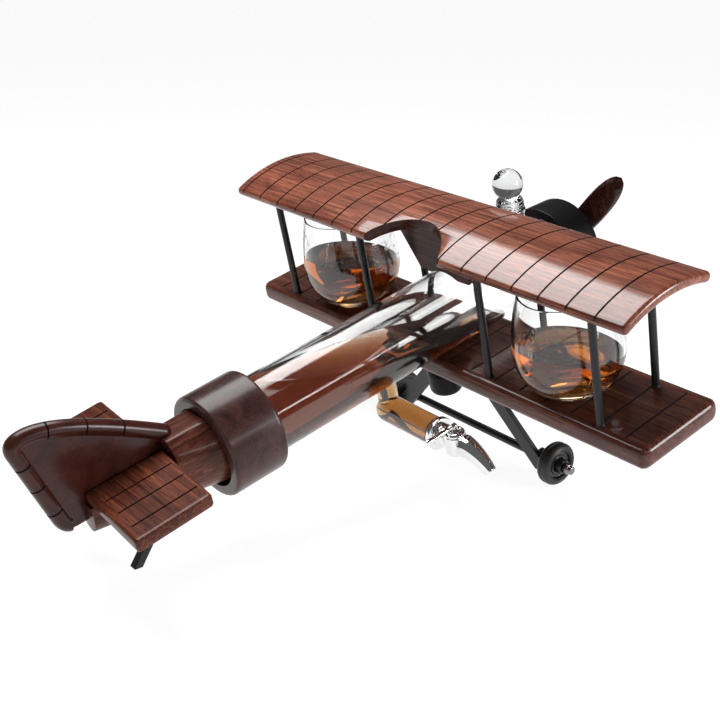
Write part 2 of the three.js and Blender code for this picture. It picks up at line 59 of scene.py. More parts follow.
# ---- Mesh tools -------------------------------------------------------------------------------

def fillet(points, steps=6):
    """Rounds each (x, y, reach) corner of a polyline."""
    out = []
    for i, point in enumerate(points):
        reach = point[2] if len(point) > 2 and 0 < i < len(points) - 1 else 0
        corner = Vector(point[:2])
        if not reach:
            out.append(tuple(corner))
            continue
        before = corner + (Vector(points[i - 1][:2]) - corner).normalized() * reach
        after = corner + (Vector(points[i + 1][:2]) - corner).normalized() * reach
        for k in range(steps + 1):
            t = k / steps
            out.append(tuple(before.lerp(corner, t).lerp(corner.lerp(after, t), t)))
    return out


def spline(points, steps=8):
    """A smooth curve through the points."""
    ends = [points[0], *points, points[-1]]
    out = []
    for a, b, c, d in zip(ends, ends[1:], ends[2:], ends[3:]):
        a, b, c, d = map(Vector, (a, b, c, d))
        for k in range(steps):
            t = k / steps
            out.append(tuple(0.5 * (2 * b + (c - a) * t + (2 * a - 5 * b + 4 * c - d) * t * t
                                    + (3 * b - a - 3 * c + d) * t ** 3)))
    return out + [tuple(points[-1])]


def bezier(a, b, c, d, steps):
    """A cubic curve from a to d, pulled towards b and c."""
    a, b, c, d = map(Vector, (a, b, c, d))
    out = []
    for k in range(steps + 1):
        t = k / steps
        u = 1 - t
        out.append(a * u ** 3 + b * 3 * t * u ** 2 + c * 3 * t * t * u + d * t ** 3)
    return out


def revolve(profile, axis="Z", sides=96, at=(0, 0, 0)):
    """A profile of (radius, distance along the axis) turned round the axis.

    It starts and ends on the axis, or at the same point to make a ring.
    """
    bm = bmesh.new()
    at = Vector(at)
    turn = {"X": lambda c, s, d: (d, c, s),
            "Y": lambda c, s, d: (s, d, c),
            "Z": lambda c, s, d: (c, s, d)}[axis]
    ring = profile[0] == profile[-1]
    rows = []
    for radius, along in profile[:-1] if ring else profile:
        angles = [2 * math.pi * i / sides for i in range(sides if radius > 0.01 else 1)]
        radius = radius if radius > 0.01 else 0
        places = [turn(radius * math.cos(a), radius * math.sin(a), along) for a in angles]
        rows.append([bm.verts.new(Vector(place) + at) for place in places])
    if ring:
        rows.append(rows[0])
    for low, high in zip(rows, rows[1:]):
        for i in range(sides):
            j = (i + 1) % sides
            if len(low) == 1 and len(high) > 1:
                bm.faces.new((low[0], high[j], high[i]))
            elif len(high) == 1 and len(low) > 1:
                bm.faces.new((low[i], low[j], high[0]))
            elif len(low) > 1:
                bm.faces.new((low[i], low[j], high[j], high[i]))
    bmesh.ops.recalc_face_normals(bm, faces=bm.faces)
    return bm


def rod(start, end, radius, sides=48):
    """A round bar between two points on one axis."""
    start, end = Vector(start), Vector(end)
    axis = max(range(3), key=lambda i: abs(end[i] - start[i]))
    base = Vector(start)
    base[axis] = 0
    return revolve([(0, start[axis]), (radius, start[axis]), (radius, end[axis]), (0, end[axis])],
                   "XYZ"[axis], sides, base)


def ball(centre, radius, sides=48):
    angles = [math.pi * k / 24 for k in range(25)]
    profile = [(radius * math.sin(a), -radius * math.cos(a)) for a in angles]
    return revolve(profile, "X", sides, centre)


def loft(rings, paint=None):
    """A skin through rings of points, closed at both ends. paint gives a face's material number."""
    bm = bmesh.new()
    rows = [[bm.verts.new(point) for point in ring] for ring in rings]
    count = len(rows[0])
    for row in range(len(rows) - 1):
        for i in range(count):
            j = (i + 1) % count
            face = bm.faces.new((rows[row][i], rows[row][j], rows[row + 1][j], rows[row + 1][i]))
            if paint:
                face.material_index = paint(row, i)
    bm.faces.new(rows[0])
    bm.faces.new(rows[-1])
    bmesh.ops.recalc_face_normals(bm, faces=bm.faces)
    return bm


def prism(outline, low, high, axis="Z", number=0):
    """An outline pushed along an axis."""
    lay = {"Z": lambda a, b, d: (a, b, d), "X": lambda a, b, d: (d, a, b)}[axis]
    return loft([[lay(a, b, low) for a, b in outline], [lay(a, b, high) for a, b in outline]],
                lambda row, i: number)


def combine(target, tool, operation="DIFFERENCE"):
    """A Boolean of two shapes. New faces keep the tool's material numbers."""
    both = []
    for bm in (target, tool):
        mesh = bpy.data.meshes.new("solid")
        bm.to_mesh(mesh)
        bm.free()
        for _ in range(3):
            mesh.materials.append(None)
        obj = bpy.data.objects.new("solid", mesh)
        scene.collection.objects.link(obj)
        both.append(obj)
    body, cutter = both
    modifier = body.modifiers.new("combine", "BOOLEAN")
    modifier.operation = operation
    modifier.solver = "EXACT"
    modifier.object = cutter
    evaluated = body.evaluated_get(bpy.context.evaluated_depsgraph_get())
    result = bmesh.new()
    result.from_mesh(evaluated.to_mesh())
    evaluated.to_mesh_clear()
    for obj in both:
        mesh = obj.data
        bpy.data.objects.remove(obj)
        bpy.data.meshes.remove(mesh)
    return result


def soften(bm, width, segments=2, angle=50, where=None):
    """Rounds the sharp edges, or those that where picks."""
    def sharp(edge):
        return edge.is_manifold and edge.calc_face_angle() > math.radians(angle)
    edges = [edge for edge in bm.edges if (where or sharp)(edge)]
    bmesh.ops.bevel(bm, geom=edges, offset=width, segments=segments, profile=0.5,
                    affect="EDGES", clamp_overlap=True)
    return bm


def merged(*shapes):
    """Several shapes in one mesh."""
    bm = bmesh.new()
    for shape in shapes:
        mesh = bpy.data.meshes.new("part")
        shape.to_mesh(mesh)
        shape.free()
        bm.from_mesh(mesh)
        bpy.data.meshes.remove(mesh)
    return bm


def piece(name, bm, body, replaced, materials, sharp=32):
    """Makes a piece of the airframe from a shape in millimetres."""
    mesh = bpy.data.meshes.new(name)
    bm.to_mesh(mesh)
    bm.free()
    mesh.transform(AIR @ Matrix.Scale(MM, 4))
    for material in materials:
        mesh.materials.append(material)
    mesh.shade_smooth()
    mesh.set_sharp_from_angle(angle=math.radians(sharp))
    obj = bpy.data.objects.new(name, mesh)
    scene.collection.objects.link(obj)
    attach(obj, body)
    if replaced:
        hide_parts(*replaced)
    return obj


# ---- Materials --------------------------------------------------------------------------------

class Nodes:
    """A material's node tree, with its Principled shader at .shader."""

    def __init__(self, name, **sockets):
        self.material = bpy.data.materials.new(name)
        self.material.use_nodes = True
        self.tree = self.material.node_tree
        self.shader = self.tree.nodes["Principled BSDF"]
        for socket, value in sockets.items():
            self.shader.inputs[socket.replace("_", " ")].default_value = value
        level = self.tree.nodes.new("ShaderNodeMapping")
        level.inputs["Rotation"].default_value = (-PITCH, 0, 0)
        coordinates = self.tree.nodes.new("ShaderNodeTexCoord")
        self.link(coordinates.outputs["Object"], level.inputs["Vector"])
        self.place = level.outputs["Vector"]

    def link(self, output, target):
        self.tree.links.new(output, target)

    def noise(self, scale, detail=4.0, distortion=0.0, roughness=0.55):
        mapping = self.tree.nodes.new("ShaderNodeMapping")
        mapping.inputs["Scale"].default_value = scale
        self.link(self.place, mapping.inputs["Vector"])
        noise = self.tree.nodes.new("ShaderNodeTexNoise")
        noise.inputs["Scale"].default_value = 1.0
        noise.inputs["Detail"].default_value = detail
        noise.inputs["Roughness"].default_value = roughness
        noise.inputs["Distortion"].default_value = distortion
        self.link(mapping.outputs["Vector"], noise.inputs["Vector"])
        return noise.outputs["Fac"]

    def ramp(self, source, *stops):
        ramp = self.tree.nodes.new("ShaderNodeValToRGB")
        elements = ramp.color_ramp.elements
        while len(elements) < len(stops):
            elements.new(0.5)
        for element, (position, colour) in zip(elements, stops):
            element.position = position
            element.color = (*colour, 1) if len(colour) == 3 else colour
        self.link(source, ramp.inputs["Fac"])
        return ramp.outputs["Color"]

    def mix(self, kind, factor, first, second):
        mix = self.tree.nodes.new("ShaderNodeMix")
        mix.data_type = "RGBA"
        mix.blend_type = kind
        if isinstance(factor, float):
            mix.inputs["Factor"].default_value = factor
        else:
            self.link(factor, mix.inputs["Factor"])
        for source, socket in ((first, mix.inputs[6]), (second, mix.inputs[7])):
            if isinstance(source, tuple):
                socket.default_value = (*source, 1)
            else:
                self.link(source, socket)
        return mix.outputs[2]

    def spread(self, source, low, high):
        """Maps 0 to 1 to low to high."""
        spread = self.tree.nodes.new("ShaderNodeMapRange")
        spread.inputs["To Min"].default_value = low
        spread.inputs["To Max"].default_value = high
        self.link(source, spread.inputs["Value"])
        return spread.outputs["Result"]

    def bump(self, source, strength, distance):
        bump = self.tree.nodes.new("ShaderNodeBump")
        bump.inputs["Strength"].default_value = strength
        bump.inputs["Distance"].default_value = distance
        self.link(source, bump.inputs["Height"])
        self.link(bump.outputs["Normal"], self.shader.inputs["Normal"])


def grained(along, across):
    """Noise scale for grain that runs along an axis."""
    return lambda axis: tuple(along if name == axis else across for name in "XYZ")


def wood(name, axis, dark, middle, light, gloss=0.34, coat=0.9):
    """Varnished wood: long grain streaks, short pores, broad tone changes and a glossy coat."""
    m = Nodes(name, Coat_Weight=coat, Coat_Roughness=0.14, Coat_IOR=1.5, Specular_IOR_Level=0.05)
    streaks = m.noise(grained(14, 340)(axis), 8.0, 0.8, 0.68)
    tone = m.ramp(streaks, (0.34, dark), (0.5, middle), (0.68, light))
    broad = m.noise(grained(9, 34)(axis), 3.0, 0.5)
    shade = m.ramp(broad, (0.32, (0.62, 0.55, 0.52)), (0.66, (1.12, 1.1, 1.08)))
    tone = m.mix("MULTIPLY", 1.0, tone, shade)
    pores = m.noise(grained(95, 1500)(axis), 4.0, 0.2, 0.7)
    fleck = m.ramp(pores, (0.36, (0.34, 0.28, 0.26)), (0.47, (1, 1, 1)))
    tone = m.mix("MULTIPLY", 0.9, tone, fleck)
    m.link(tone, m.shader.inputs["Base Color"])
    m.link(m.spread(streaks, gloss - 0.06, gloss + 0.1), m.shader.inputs["Roughness"])
    m.bump(pores, 0.16, 0.0002)
    return m.material


def mottled(name, dark, light, gloss):
    """Dark stained wood with a cloudy finish and fine specks."""
    m = Nodes(name, Coat_Weight=0.5, Coat_Roughness=0.22, Coat_IOR=1.5, Specular_IOR_Level=0.08)
    clouds = m.noise((70, 70, 70), 6.0, 0.6, 0.65)
    tone = m.ramp(clouds, (0.32, dark), (0.68, light))
    specks = m.noise((900, 900, 900), 3.0, 0.0, 0.7)
    fleck = m.ramp(specks, (0.35, (0.5, 0.46, 0.46)), (0.62, (1.25, 1.2, 1.2)))
    tone = m.mix("MULTIPLY", 0.55, tone, fleck)
    m.link(tone, m.shader.inputs["Base Color"])
    m.link(m.spread(clouds, gloss - 0.08, gloss + 0.12), m.shader.inputs["Roughness"])
    m.bump(specks, 0.1, 0.0002)
    return m.material


def coated(name, colour, tint, gloss, grain, **sockets):
    """Paint, plastic, rubber or metal with a fine surface texture."""
    m = Nodes(name, **sockets)
    fine = m.noise((grain, grain, grain), 4.0, 0.0, 0.6)
    broad = m.noise((45, 45, 45), 3.0, 0.3)
    m.link(m.mix("MIX", broad, colour, tint), m.shader.inputs["Base Color"])
    m.link(m.spread(fine, gloss * 0.8, gloss * 1.25), m.shader.inputs["Roughness"])
    m.bump(fine, 0.06, 0.0001)
    return m.material


def clear(name, tint, ior, frosted=False):
    """Clear glass, with very faint ripples and, if frosted, etched leaf-like patches."""
    m = Nodes(name, Transmission_Weight=1.0, IOR=ior, Roughness=0.0)
    ripples = m.noise((28, 28, 28), 2.0)
    m.link(m.mix("MIX", ripples, tint, (1.0, 1.0, 1.0)), m.shader.inputs["Base Color"])
    if frosted:
        etch = m.ramp(m.noise((46, 46, 62), 5.0, 1.4, 0.6), (0.64, (0, 0, 0)), (0.665, (1, 1, 1)))
        m.link(m.spread(etch, 0.0, 0.32), m.shader.inputs["Roughness"])
    m.bump(ripples, 0.03, 0.0006)
    return m.material


def drink(name, colour, density):
    """A clear liquid that darkens with depth."""
    m = Nodes(name, Transmission_Weight=1.0, IOR=1.34, Roughness=0.0)
    swirl = m.noise((30, 30, 30), 3.0, 0.8)
    m.link(m.mix("MIX", swirl, (1.0, 0.95, 0.88), (1.0, 1.0, 1.0)), m.shader.inputs["Base Color"])
    absorb = m.tree.nodes.new("ShaderNodeVolumeAbsorption")
    absorb.inputs["Color"].default_value = (*colour, 1)
    absorb.inputs["Density"].default_value = density
    m.link(absorb.outputs["Volume"], m.tree.nodes["Material Output"].inputs["Volume"])
    return m.material


# Woods have a dark, a middle and a light tone
RED = ((0.085, 0.02, 0.011), (0.25, 0.072, 0.038), (0.46, 0.165, 0.095))
DEEP = ((0.045, 0.013, 0.009), (0.11, 0.034, 0.022), (0.19, 0.068, 0.045))
WARM = ((0.05, 0.012, 0.007), (0.13, 0.036, 0.02), (0.27, 0.08, 0.034))
DULL = ((0.028, 0.01, 0.007), (0.06, 0.02, 0.014), (0.1, 0.036, 0.026))
NIGHT = ((0.02, 0.006, 0.004), (0.06, 0.02, 0.014), (0.12, 0.045, 0.032))
WING_WOOD = wood("wing_wood", "X", *RED)
LOWER_WOOD = wood("lower_wing_wood", "X", *DEEP, coat=0.6)
TAIL_WOOD = wood("tail_wood", "Y", *DEEP, gloss=0.3, coat=0.35)
STAB_WOOD = wood("stabilizer_wood", "X", *WARM, coat=0.35)
SADDLE_WOOD = wood("saddle_wood", "X", *DULL, coat=0.3)
PROP_WOOD = wood("propeller_wood", "Z", *NIGHT, gloss=0.2)
COLLAR_WOOD = mottled("collar_wood", (0.024, 0.009, 0.008), (0.08, 0.032, 0.028), 0.36)
FIN_WOOD = mottled("fin_wood", (0.03, 0.007, 0.005), (0.066, 0.016, 0.011), 0.3)
# Near-black and matte: painted shade laid into the grooves, beside them and over their ends
GROOVE_SHADE = coated("groove", (0.004, 0.002, 0.002), (0.01, 0.005, 0.004), 0.6, 700,
                Specular_IOR_Level=0.1)
BLACK_METAL = coated("black_metal", (0.007, 0.007, 0.008), (0.013, 0.013, 0.014), 0.34, 1600,
                     Specular_IOR_Level=0.35)
NUT_METAL = coated("nut_metal", (0.2, 0.2, 0.2), (0.3, 0.3, 0.3), 0.25, 900, Metallic=1.0)
BLACK_SATIN = coated("black_satin", (0.003, 0.003, 0.003), (0.006, 0.006, 0.006), 0.36, 900,
                     Specular_IOR_Level=0.14)
BLACK_GLOSS = coated("black_gloss", (0.006, 0.006, 0.006), (0.012, 0.012, 0.012), 0.22, 700)
TYRE = coated("tyre", (0.008, 0.008, 0.008), (0.014, 0.014, 0.014), 0.42, 2200)
GASKET = coated("gasket", (0.015, 0.015, 0.015), (0.025, 0.025, 0.025), 0.7, 1500)
CHROME = coated("chrome", (0.78, 0.79, 0.8), (0.86, 0.86, 0.86), 0.07, 300, Metallic=1.0)
GLASS = clear("decanter_glass", (0.985, 0.99, 0.99), 1.47)
# A grey tint through the clear ball: painted shade standing in for the dark surroundings seen
# through it
STOPPER_GLASS_PAINTED_SHADE = clear("stopper_glass_painted_shade", (0.58, 0.6, 0.61), 1.5)
TUMBLER_GLASS = clear("tumbler_glass", (0.985, 0.99, 0.99), 1.47, frosted=True)
SPIRIT = drink("spirit", (0.61, 0.28, 0.02), 95.0)
SPIRIT_THIN = drink("tumbler_spirit", (0.88, 0.54, 0.03), 60.0)
SPIRIT_ARM = drink("outlet_spirit", (0.72, 0.46, 0.05), 165.0)


# ---- Shared places ----------------------------------------------------------------------------

TUBE_Z, TUBE_BORE = 29.2, 28.8
TUBE_CLEAR = 31.7  # the bore of the rings that slip over the tube
NECK_Y = 116.6
ARM_Y, ARM_Z, ARM_END = -42.0, -30.0, 55.0
TAP_X = 78
WING_MID, CAMBER_Z, CAMBER_TOP, CAMBER_UNDER = 40.5, -13.625, 124.625, 116.125
GROOVE_DEPTH = 0.8


# ---- Wings ------------------------------------------------------------------------------------

def grooved_stations(ends, grooves, depth):
    """(x, groove depth, painted) along a panel, with seven stations in and beside each groove;
    painted stations get painted shade.
    """
    stations = [(x, 0, False) for x in ends]
    for x in grooves:
        stations += [(x - 1.7, 0, False), (x - 0.85, 0, True), (x - 0.5, depth * 0.8, True),
                     (x, depth, True), (x + 0.5, depth * 0.8, True), (x + 0.85, 0, False),
                     (x + 1.7, 0, False)]
    return sorted(stations)


def groove_shade_paint(stations, first, last):
    """Paints painted shade, the near-black groove material, on the grooves' top faces from first to
    last.
    """
    return lambda row, i: 1 if stations[row][2] and first <= i < last else 0


def upper_wing():
    half_span, half_chord, edge, tip = 224.3, 46.5, 4.25, 3
    ribs = [-214.1 + 25.8 * k for k in range(17)]
    mid, centre_z, top, under = WING_MID, CAMBER_Z, CAMBER_TOP, CAMBER_UNDER
    middle = (top + under) / 2
    half = math.asin((half_chord - edge) / middle)
    count = 56

    def arc(y, z, radius, turn):
        return y + radius * math.sin(turn), z + radius * math.cos(turn)

    def section(x, inset, depth):
        points = []
        for k in range(count + 1):
            turn = half * (2 * k / count - 1)
            fade = min(1, max(0, (half - abs(turn) - 0.003) / 0.012))
            points.append(arc(mid, centre_z, top - inset - depth * fade, turn))
        front, rear = arc(mid, centre_z, middle, half), arc(mid, centre_z, middle, -half)
        turns = [math.pi * k / 12 for k in range(1, 12)]
        points += [arc(*front, edge - inset, half + turn) for turn in turns]
        points += [arc(mid, centre_z, under + inset, half * (1 - 2 * k / 28)) for k in range(29)]
        points += [arc(*rear, edge - inset, math.pi - half + turn) for turn in turns]
        return [(x, y, z) for y, z in points]

    ends = [half_span - tip, half_span - 4.2]
    stations = grooved_stations([-x for x in ends] + ends, ribs, GROOVE_DEPTH)
    right = []
    for k in range(1, 7):
        a = math.radians(90 * k / 6)
        right.append((half_span - tip + tip * math.sin(a), tip * (1 - math.cos(a))))
    left = [section(-x, inset, 0) for x, inset in reversed(right)]
    right = [section(x, inset, 0) for x, inset in right]
    rings = left + [section(x, 0, depth) for x, depth, _ in stations] + right

    # Groove rows get painted shade, also over the front and rear rounding where the dent has faded
    # out
    def paint(row, i):
        row -= len(left)
        inside = 0 <= row < len(stations) and stations[row][2]
        return 1 if inside and (i < count + 3 or i >= len(rings[0]) - 4) else 0

    wing = loft(rings, paint)
    arch = bezier((43.5, -6), (38, 8), (20, 27), (0, 27), 18)
    cut_out = [(43.5, -30), *[tuple(p) for p in arch], *[(-p.x, p.y) for p in arch[-2::-1]],
               (-43.5, -30)]
    wing = combine(wing, prism(cut_out, 60, 170, number=2))

    def rim(edge):
        numbers = {face.material_index for face in edge.link_faces}
        return len(edge.link_faces) == 2 and 2 in numbers and len(numbers) > 1
    soften(wing, 0.7, 2, where=rim)
    piece("wing_upper_shell", wing, "airframe", ["upper_wing"],
          [WING_WOOD, GROOVE_SHADE, SADDLE_WOOD])


def rounded_section(y0, y1, z0, z1, radius, groove, steps=6, margin=(1.5, 1.0)):
    """A round-edged rectangle in Y and Z whose top is lowered by groove between its margins."""
    radius = min(radius, (y1 - y0) / 2.01, (z1 - z0) / 2.01)
    top = [y0 + radius, y0 + radius + margin[0], y0 + radius + margin[0] + 1.5,
           y1 - radius - margin[1] - 1.5, y1 - radius - margin[1], y1 - radius]
    points = [(y, z1 - (groove if 2 <= k <= 3 else 0)) for k, y in enumerate(top)]
    for y, z, start in ((y1 - radius, z1 - radius, 90), (y1 - radius, z0 + radius, 0),
                        (y0 + radius, z0 + radius, -90), (y0 + radius, z1 - radius, -180)):
        for k in range(steps + 1):
            if (start, k) in ((90, 0), (-180, steps)):
                continue
            a = math.radians(start - 90 * k / steps)
            points.append((y + radius * math.cos(a), z + radius * math.sin(a)))
    return points


def lower_wing():
    half_span, chord, thick, round_, corner = 229.5, 84.4, 17.8, 5.5, 6.0
    ribs = [24.8 + 26.0 * k for k in range(8)]
    ribs = [-x + 2.4 for x in ribs] + [-1.2] + ribs
    ends = []
    for reach in (0, 0.3, 0.8, 1.6, 2.7, 4.5, 5.6, 7):
        ends += [half_span - reach, reach - half_span]
    stations = grooved_stations(ends, ribs, GROOVE_DEPTH)
    rings = []
    for x, depth, _ in stations:
        reach = half_span - abs(x)
        side = corner - math.sqrt(max(0, corner ** 2 - max(0, corner - reach) ** 2))
        lift = round_ - math.sqrt(max(0, round_ ** 2 - max(0, round_ - reach) ** 2))
        ring = rounded_section(side, chord - side, lift - thick, -lift, round_, depth)
        rings.append([(x, y, z) for y, z in ring])
    # The grooves' top faces get painted shade
    wing = loft(rings, groove_shade_paint(stations, 1, 4))
    channel = revolve([(0, -40), (31.6, -40), (31.6, 140), (0, 140)], "Y", 96, (0, 0, TUBE_Z))
    wing = combine(wing, channel)
    piece("wing_lower_shell", wing, "airframe", ["lower_wing"],
          [LOWER_WOOD, GROOVE_SHADE, SADDLE_WOOD])


def stabilizer(name, root, tip):
    """Half the tailplane, between (x, front y, x, rear y) edges at its root and its tip."""
    top, thick, span, edge = 51.0, 10.3, 80.0, 2.6
    stations = [(d / span, depth, dark) for d, depth, dark in
                grooved_stations([0, 1.2, 76.2, 77.2, 77.6, 79, 80], [21.5, 41.5, 63], 0.9)]
    rings = []
    for s, depth, _ in stations:
        x_front, y_front, x_rear, y_rear = (a + (b - a) * s for a, b in zip(root, tip))
        out = min(max(0, (s - 1) * span + edge), edge)
        lift = edge - math.sqrt(edge ** 2 - out ** 2)
        ring = rounded_section(y_rear + lift, y_front - lift, top - thick + lift, top - lift, edge,
                               depth, margin=(3.0, 0.5))
        slant = (x_front - x_rear) / (y_front - y_rear)
        rings.append([(x_rear + slant * (y - y_rear), y, z) for y, z in ring])
    # The grooves' top faces get painted shade
    panel = loft(rings, groove_shade_paint(stations, 1, 4))
    piece("tailplane_" + name, panel, "airframe", ["stabilizer_" + name],
          [STAB_WOOD, GROOVE_SHADE])


# ---- Struts and saddle ------------------------------------------------------------------------

def struts():
    bays = {"left_outer": -182.9, "left_inner": -69.5, "right_inner": 69.5, "right_outer": 182.9}
    for row, y in (("rear", 8.5), ("front", 71.3)):
        top = CAMBER_Z + math.sqrt(CAMBER_UNDER ** 2 - (y - WING_MID) ** 2)
        for bay, x in bays.items():
            profile = fillet([(0, 0), (3.7, 0), (3.7, 1.0, 0.3), (3.1, 1.4, 0.3), (3.1, top),
                              (0, top)], 3)
            piece(f"post_{bay}_{row}", revolve(profile, "Z", 32, (x, y, 0)), "airframe",
                  [f"strut_{bay}_{row}"], [BLACK_METAL])


# ---- Decanter ---------------------------------------------------------------------------------

def vessel(barrel, neck, stub, arm, arm_end):
    """The barrel, neck and outlet arm of the decanter as one solid: its skin, or its hollow."""
    solid = revolve(barrel, "Y", 128, (0, 0, TUBE_Z))
    solid = combine(solid, revolve(neck, "Z", 64, (0, NECK_Y, 0)), "UNION")
    solid = combine(solid, rod((0, ARM_Y, TUBE_Z - 20), (0, ARM_Y, ARM_Z), stub, 56), "UNION")
    solid = combine(solid, ball((0, ARM_Y, ARM_Z), arm, 56), "UNION")
    return combine(solid, rod((0.01, ARM_Y, ARM_Z), (arm_end, ARM_Y, ARM_Z), arm, 56), "UNION")


def hollow(grow, arm_end):
    """The decanter's inside, grown a little where a drink has to meet the glass."""
    bore, tail, nose = TUBE_BORE + grow, -182 - grow, 164 + grow
    barrel = fillet([(0, tail), (bore, tail, 5), (bore, nose, 9), (0, nose)], 8)
    neck = [(0, 40), (8 + grow, 40), (8 + grow, 90), (0, 90)]
    return vessel(barrel, neck, 6 + grow, 9.2 + grow, arm_end)


def decanter():
    barrel = fillet([(0, -188), (31.4, -188, 4), (31.4, 169, 12), (0, 169)], 10)
    neck = fillet([(0, 40), (11.2, 40), (11.2, 79.4, 1), (12.4, 80.6, 0.8), (12.4, 84.2, 1),
                   (0, 84.5)], 5)
    glass = combine(vessel(barrel, neck, 8.4, 11.6, ARM_END), hollow(0, ARM_END + 2))
    piece("decanter", glass, "airframe", ["decanter_tube", "decanter_neck", "decanter_outlet"],
          [GLASS], 40)

    # The drink: the hollow below a level surface that meets the tube's top near its tail
    surface = AIR @ (Vector((0, -155, TUBE_Z + TUBE_BORE)) * MM)
    for name, low, high, material in (("decanter_drink", -2.6, 70, SPIRIT),
                                      ("outlet_drink", -60, -2.8, SPIRIT_ARM)):
        filled = combine(hollow(0.35, ARM_END - 0.6), under(surface.z), "INTERSECT")
        part = prism([(-80, -250), (80, -250), (80, 250), (-80, 250)], low, high)
        drink = combine(filled, part, "INTERSECT")
        piece(name, drink, "airframe", [], [material], 40)


def under(level):
    """A block of everything below a level height in metres, seen from the pitched airframe."""
    block = bmesh.new()
    bmesh.ops.create_cube(block, size=2.0)
    place = Matrix.Translation((0, 0, level - 1))
    block.transform(Matrix.Scale(1 / MM, 4) @ AIR.inverted() @ place)
    return block


def stopper():
    seat = 84.5 + 0.3
    ball_z, radius, waist = 106.0, 13.0, 7.2
    start = -math.acos(waist / radius)
    angles = [start + (math.pi / 2 - start) * k / 30 for k in range(1, 30)]
    globe = [(radius * math.cos(a), ball_z + radius * math.sin(a)) for a in angles]
    profile = fillet([(0, 66), (7.6, 66, 1), (7.6, seat), (11.4, seat, 0.6), (12, seat + 1.6, 0.8),
                      (10.9, seat + 3.0, 0.6), (12, seat + 4.4, 0.8), (10.9, seat + 5.8, 0.6),
                      (11.4, seat + 7.2, 0.8), (8.4, seat + 9.4, 1.4),
                      (waist, seat + 10.8, 0.4)], 5)
    profile += globe + [(0, ball_z + radius)]
    piece("stopper_globe", revolve(profile, "Z", 72, (0, NECK_Y, 0)), "stopper_body", ["stopper"],
          [STOPPER_GLASS_PAINTED_SHADE], 50)


# ---- Tail -------------------------------------------------------------------------------------

def collar():
    front, rear, bore, outer = -165, -211.8, TUBE_CLEAR, 40.9
    profile = fillet([(bore, -188), (bore, rear, 0.8), (outer, rear, 3.4), (outer, front, 3.4),
                      (bore, front, 0.8), (bore, -188)], 6)
    piece("tail_ring", revolve(profile, "Y", 144, (0, 0, TUBE_Z)), "airframe", ["tail_collar"],
          [COLLAR_WOOD], 50)


def tail_block():
    """A cone with a flat top, cut down to a ledge that carries the tailplane."""
    front, length, radius, flat_z = -192, 119, 31.1, 58.5
    step, ledge_z, end_half, end_bottom = -244.5, 40.4, 11.5, 16
    steps, sides = 20, 112
    rings = []
    for row in range(steps + 1):
        t = row / steps
        half = radius + (end_half - radius) * t
        centre = TUBE_Z + (ledge_z - TUBE_Z) * t
        bottom = TUBE_Z - radius + (end_bottom - TUBE_Z + radius) * t
        ring = []
        for i in range(sides):
            a = 2 * math.pi * i / sides
            z = min(centre + (centre - bottom) * math.sin(a), flat_z)
            ring.append((half * math.cos(a), front - length * t, z))
        rings.append(ring)
    above = prism([(-60, -360), (60, -360), (60, step), (-60, step)], ledge_z, 100)
    block = combine(loft(rings), above)
    soften(block, 1.2, 3, 45)
    piece("tail_cone", block, "airframe", ["tail_block"], [TAIL_WOOD], 40)


def fin():
    """A thin panel inside a bead that runs over the top and down the rear edge."""
    top = bezier((-231, 61.1), (-262, 83), (-308, 115), (-334, 115), 48)
    tip = bezier((-334, 115), (-345.5, 115), (-350.9, 110), (-349.6, 101), 12)[1:]
    heel = bezier((-335.5, 38), (-333.5, 30), (-329, 25.5), (-322, 25.5), 10)
    rear = [tip[-1].lerp(heel[0], k / 20) for k in range(1, 20)]
    edge = top + tip + rear + heel
    path = []
    for k, point in enumerate(edge):
        along = (edge[min(k + 1, len(edge) - 1)] - edge[max(k - 1, 0)]).normalized()
        path.append((point, Vector((-along.y, along.x))))
    lengths = [0.0]
    for a, b in zip(edge, edge[1:]):
        lengths.append(lengths[-1] + (b - a).length)
    total = lengths[-1]

    def at(distance):
        """The point at a distance along the edge, and the direction inward from it."""
        distance = min(max(distance, 0), total)
        for k in range(len(edge) - 1):
            if lengths[k + 1] >= distance:
                t = (distance - lengths[k]) / (lengths[k + 1] - lengths[k])
                return (path[k][0].lerp(path[k + 1][0], t),
                        path[k][1].lerp(path[k + 1][1], t).normalized())

    reach = 6.3
    marks = [total * t for t in (0.185, 0.314, 0.444, 0.68, 0.77, 0.875)]
    stops = [(d, 1.0, False) for d in (2.5 * k for k in range(3, int(total / 2.5)))
             if all(abs(d - mark) > 1.2 for mark in marks)]
    # Each mark is a ring pressed slightly in and painted with the near-black groove material:
    # painted shade
    for mark in marks:
        stops += [(mark - 0.7, 1.0, True), (mark - 0.3, 0.9, True), (mark + 0.3, 0.9, True),
                  (mark + 0.7, 1.0, False)]
    for k in range(7):
        a = math.radians(90 * k / 6)
        stops.append((0.2 + 6.0 * (1 - math.cos(a)), max(0.05, math.sin(a)), False))
    stops.sort()
    rings = []
    for distance, size, _ in stops:
        point, inward = at(distance)
        centre = point + inward * reach
        ring = []
        for i in range(28):
            a = 2 * math.pi * i / 28
            x, v = reach * math.cos(a), reach * math.sin(a)
            spot = centre + inward * v * size
            ring.append((x * size, spot.x, spot.y))
        rings.append(ring)
    bead = loft(rings, lambda row, i: 1 if stops[row][2] else 0)
    inner = [at(d)[0] + at(d)[1] * 4 for d in (total * k / 60 for k in range(1, 61))]
    outline = [(-240, 58.8)] + [(p.x, p.y) for p in inner]
    outline += [(-322, 29.5), (-311.3, 29.5), (-311.3, 40.7), (-244.8, 40.7), (-244.8, 58.8)]
    panel = prism(outline, -4.3, 4.3, "X")
    soften(panel, 0.6, 2, 60)
    piece("fin_with_bead", merged(bead, panel), "airframe", ["tail_fin"],
          [FIN_WOOD, GROOVE_SHADE], 40)


# ---- Nose -------------------------------------------------------------------------------------

